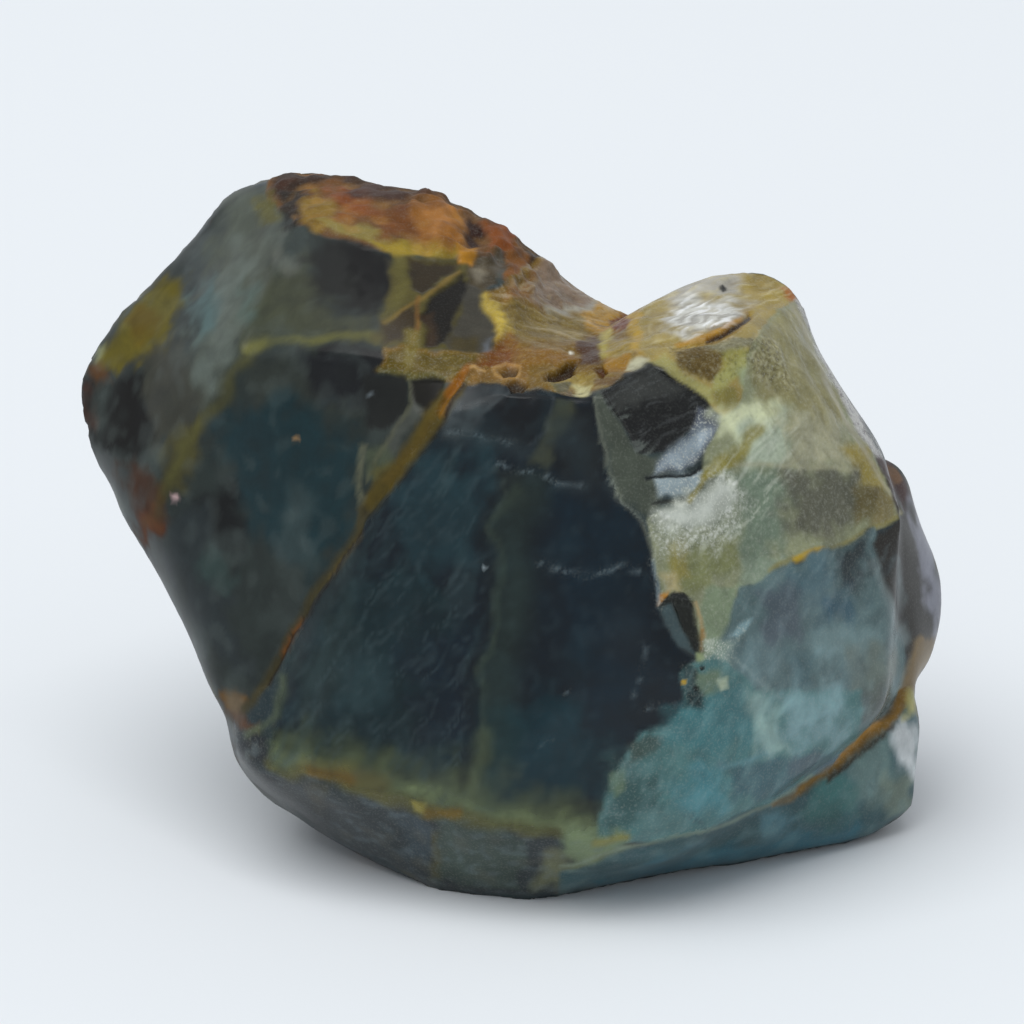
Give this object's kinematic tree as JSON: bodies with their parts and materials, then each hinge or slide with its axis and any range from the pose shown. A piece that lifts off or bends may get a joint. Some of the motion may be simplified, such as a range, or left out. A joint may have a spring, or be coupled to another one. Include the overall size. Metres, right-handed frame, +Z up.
{
  "type": "rough fluorite",
  "caption": "Rough lump of translucent blue-green fluorite with split faces, iron-stained cracks and a levelled base to stand on.",
  "frame": {"origin": "on the table, at the bottom centre of the stone's bounding box", "axes": "+Z up, +X to the right as the big dark pane is faced, +Y away from the viewer of that pane"},
  "size_m": [0.0442, 0.031, 0.0304],
  "materials": {
    "fluorite": "translucent, deep blue-green, with ochre iron staining; satin to glassy where it split clean"
  },
  "bodies": {
    "root": {"fluorite": "fluorite"}
  },
  "joints": []
}
